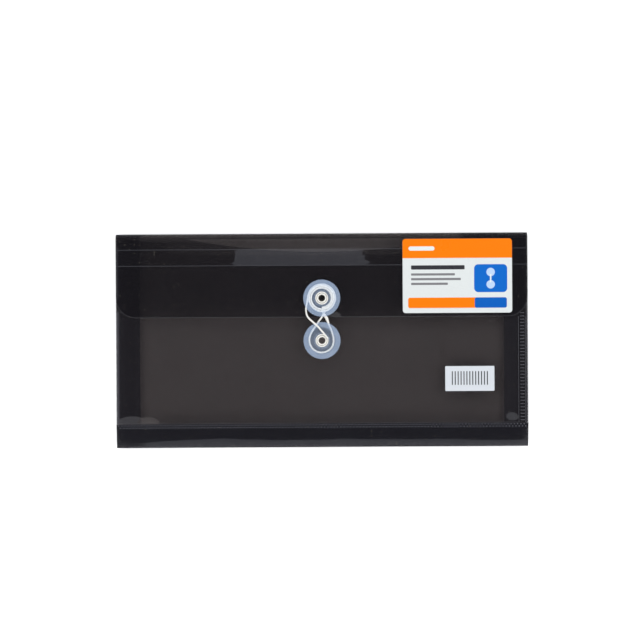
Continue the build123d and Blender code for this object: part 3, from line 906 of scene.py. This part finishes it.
yarn = {
    "low": (0.72, 0.71, 0.67),
    "high": (0.86, 0.85, 0.81),
    "worn": (0.74, 0.73, 0.69),
    "wornFrom": (0.6, 0.8),
    "fibres": 2600.0,
    "cloud": 400.0,
    "bump": 0.5,
    "bumpDeep": 0.1,
    "roughness": 0.7,
    "sheen": 0.2,
}


def stringMaterial():  # twisted white yarn
    material, tree, shader, place = newMaterial("whiteString", yarn["roughness"])
    fibres = noiseNode(tree, place, yarn["fibres"], detail=4.0)
    cloud = noiseNode(tree, place, yarn["cloud"], detail=2.0)
    colour = mixColour(tree, fibres, shade(yarn["low"]), shade(yarn["high"]))
    colour = mixColour(tree, rampNode(tree, cloud, *yarn["wornFrom"]), colour, shade(yarn["worn"]))
    tree.links.new(colour, shader.inputs["Base Color"])
    links = {"Height": fibres, "Strength": yarn["bump"], "Distance": yarn["bumpDeep"] * mm}
    tree.links.new(addNode(tree, "ShaderNodeBump", links).outputs[0], shader.inputs["Normal"])
    shader.inputs["Sheen Weight"].default_value = yarn["sheen"]
    return material


stringLook = stringMaterial()


def bareCurve(name, points):
    data = bpy.data.curves.new(name, "CURVE")
    data.dimensions = "3D"
    spline = data.splines.new("NURBS")
    spline.points.add(len(points) - 1)
    for knot, place in zip(spline.points, points):
        knot.co = (*(Vector(place) * mm), 1)
    spline.order_u = 3
    spline.use_endpoint_u = True
    spline.resolution_u = string["smooth"]
    data.bevel_depth = string["diameter"] / 2 * mm
    data.bevel_resolution = string["sides"]
    data.use_fill_caps = True
    return bpy.data.objects.new(name, data)


def stringCurve(name, points):
    piece = bareCurve(name, points)
    piece.data.materials.append(stringLook)
    bpy.context.scene.collection.objects.link(piece)
    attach(piece, "flap")
    return piece


def curveLength(piece):
    plain = piece.data.copy()
    plain.bevel_depth = 0
    holder = bpy.data.objects.new("measure", plain)
    mesh = bpy.data.meshes.new_from_object(holder)
    ends = [[mesh.vertices[number].co for number in edge.vertices] for edge in mesh.edges]
    length = sum((a - b).length for a, b in ends)
    bpy.data.objects.remove(holder)
    return length


def windingPoints():  # outwards round the upper hub, from below it
    points = []
    for before, after in zip(string["wind"], string["wind"][1:]):
        steps = round((after[0] - before[0]) * string["perTurn"])
        for step in range(steps):
            turn, reach, height = [a + (b - a) * step / steps for a, b in zip(before, after)]
            angle = -math.pi / 2 + turn * 2 * math.pi
            points.append((reach * math.cos(angle), upperAt.y / mm + reach * math.sin(angle), height))
    return points


def tieKnot():
    bm = bmesh.new()
    across, down = string["knotGrid"]
    bmesh.ops.create_uvsphere(bm, u_segments=across, v_segments=down, radius=1)
    for vert in bm.verts:  # the strand goes round the knot
        angle = math.atan2(vert.co.z, vert.co.y)
        vert.co *= 1 + string["knotRib"] * math.sin(string["knotTwist"] * vert.co.x + angle)
    bmesh.ops.scale(bm, vec=Vector(string["knotHalf"]) * mm, verts=bm.verts)
    bmesh.ops.translate(bm, vec=Vector(string["knotAt"]) * mm, verts=bm.verts)
    stub = bareCurve("knotEnd", string["knotEnd"])
    bm.from_mesh(bpy.data.meshes.new_from_object(stub))
    bpy.data.objects.remove(stub)
    knot = bakeModifiers(newPiece("stringKnot", bm, stringLook), sharp=60)
    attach(knot, "flap")
    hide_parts("string_knot")
    return knot


def makeString():
    winding = windingPoints()
    wound = stringCurve("woundString", winding + string["tail"])
    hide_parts("string_winding", "string_tail")
    tied = stringCurve("tiedLoop", string["loop"])
    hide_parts("string_loop")
    knot = tieKnot()
    curveLength(wound)
    curveLength(tied)


makeString()
print("string wound")


# labels

paper = {
    "darker": 0.96,
    "lighter": 1.03,
    "grain": 900.0,
    "rough": (0.26, 0.42),
    "gloss": 0.25,
    "glued": (0.50, 0.51, 0.50),
    "sink": 0.06,  # the glued side lies a little way into the sheet
    "cornerSteps": 6,
}
header = {"corner": 1.8, "grid": (16, 11), "ground": (0.62, 0.65, 0.65)}
price = {"corner": 0.5, "grid": (8, 4), "ground": (0.57, 0.60, 0.64), "bars": 13, "barPitch": 1.8, "barUp": 0.3,
         "barHalf": (0.31, 4.2), "ink": (0.02, 0.02, 0.022)}
headerPrint = [
    {"at": (0.0, 16.9), "half": (33.7, 5.95), "corner": 0.0, "colour": (0.80, 0.175, 0.002)},
    {"at": (-22.0, 16.9), "half": (8.0, 1.3), "corner": 1.3, "colour": (0.66, 0.70, 0.70)},
    {"at": (20.5, -1.6), "half": (10.2, 8.6), "corner": 2.6, "colour": (0.004, 0.115, 0.48)},
    {"at": (20.5, 2.2), "half": (2.6, 2.6), "corner": 2.6, "colour": (0.42, 0.55, 0.74)},
    {"at": (20.5, -5.4), "half": (2.6, 2.6), "corner": 2.6, "colour": (0.42, 0.55, 0.74)},
    {"at": (20.5, -1.6), "half": (0.45, 2.6), "corner": 0.2, "colour": (0.66, 0.70, 0.70)},
    {"at": (-12.0, 5.2), "half": (16.5, 1.3), "corner": 0.5, "colour": (0.03, 0.03, 0.035)},
    {"at": (-15.0, 0.9), "half": (13.5, 0.7), "corner": 0.3, "colour": (0.18, 0.18, 0.19)},
    {"at": (-13.2, -2.0), "half": (15.3, 0.7), "corner": 0.3, "colour": (0.18, 0.18, 0.19)},
    {"at": (-17.2, -4.9), "half": (11.3, 0.7), "corner": 0.3, "colour": (0.18, 0.18, 0.19)},
    {"at": (0.0, -16.6), "half": (30.4, 3.2), "corner": 1.2, "colour": (0.80, 0.175, 0.002)},
    {"at": (20.5, -16.6), "half": (9.9, 3.2), "corner": 1.2, "colour": (0.003, 0.095, 0.42)},
]


def labelMaterial(name, centre, ground, blocks):
    material, tree, shader, place = newMaterial(name)
    cloud = noiseNode(tree, place, paper["grain"], detail=3.0)
    colour = mixColour(tree, cloud, shade(ground, paper["darker"]), shade(ground, paper["lighter"]))
    for block in blocks:
        links = {"Place": place, "Centre": centre + flat(block["at"]), "Half": flat(block["half"]),
                 "Corner": block["corner"] * mm}
        colour = mixColour(tree, useGroup(tree, blockGroup, links)["Mask"], colour, shade(block["colour"]))
    tree.links.new(colour, shader.inputs["Base Color"])
    scuff = useGroup(tree, scuffGroup, {"Place": place, "Low": paper["rough"][0], "High": paper["rough"][1]})
    tree.links.new(scuff["Roughness"], shader.inputs["Roughness"])
    shader.inputs["Specular IOR Level"].default_value = paper["gloss"]
    return material


def addLabel(name, node, rideOn, look, blocks):
    low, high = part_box(node)
    low.z -= paper["sink"] * mm
    centre = (low + high) / 2
    bm = flatSheet(low.x, high.x, low.y, high.y, low.z, *look["grid"])
    corners = [vert for vert in bm.verts if len(vert.link_edges) == 2]
    bmesh.ops.bevel(bm, geom=corners, offset=look["corner"] * mm, affect="VERTICES", segments=paper["cornerSteps"],
                    profile=0.5, material=-1)
    makeWavy(bm, rideOn)
    grown = bmesh.ops.extrude_face_region(bm, geom=bm.faces[:], use_keep_orig=True)["geom"]
    lifted = [vert for vert in grown if isinstance(vert, bmesh.types.BMVert)]
    bmesh.ops.translate(bm, vec=(0, 0, high.z - low.z), verts=lifted)
    bmesh.ops.recalc_face_normals(bm, faces=bm.faces)
    for face in bm.faces:
        face.material_index = 1 if face.normal.z < -0.5 else 0  # the glued side faces down
    piece = newPiece(name, bm, labelMaterial(name, centre, look["ground"], blocks), gluedLook)
    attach(piece, rideOn)
    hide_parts(node)


gluedLook = labelMaterial("labelBack", Vector((0, 0, 0)), paper["glued"], [])
priceBars = [{"at": ((bar - (price["bars"] - 1) / 2) * price["barPitch"], price["barUp"]), "half": price["barHalf"],
              "corner": 0.0, "colour": price["ink"]} for bar in range(price["bars"])]
addLabel("headerLabel", "header_label", "flap", header, headerPrint)
addLabel("priceLabel", "price_label", "front", price, priceBars)
print("labels stuck on")


# floor

floor = {"size": 6.0, "drop": 0.4, "colour": (0.98, 0.98, 0.98), "roughness": 0.9, "gloss": 0.1,
         "paintedGlow": (0.22, 0.22, 0.22), "paintedGlowSoft": 0.5}


def makeFloor():
    bm = bmesh.new()
    bmesh.ops.create_grid(bm, x_segments=1, y_segments=1, size=floor["size"] / 2)
    bmesh.ops.translate(bm, vec=(0, 0, -floor["drop"] * mm), verts=bm.verts)
    material, tree, shader, place = newMaterial("paleFloor", floor["roughness"])
    shader.inputs["Base Color"].default_value = shade(floor["colour"])
    shader.inputs["Specular IOR Level"].default_value = floor["gloss"]
    links = {"Place": place, "Half": (cadHigh.x, cadHigh.y, 1), "Soft": floor["paintedGlowSoft"] * mm}
    covered = useGroup(tree, blockGroup, links)["Mask"]  # painted light: the floor glows all round the envelope, washing out the shadow there, but not under it
    tree.links.new(mixColour(tree, covered, shade(floor["paintedGlow"]), (0, 0, 0, 1)), shader.inputs["Emission Color"])
    shader.inputs["Emission Strength"].default_value = 1.0
    newPiece("paleFloor", bm, material)


makeFloor()
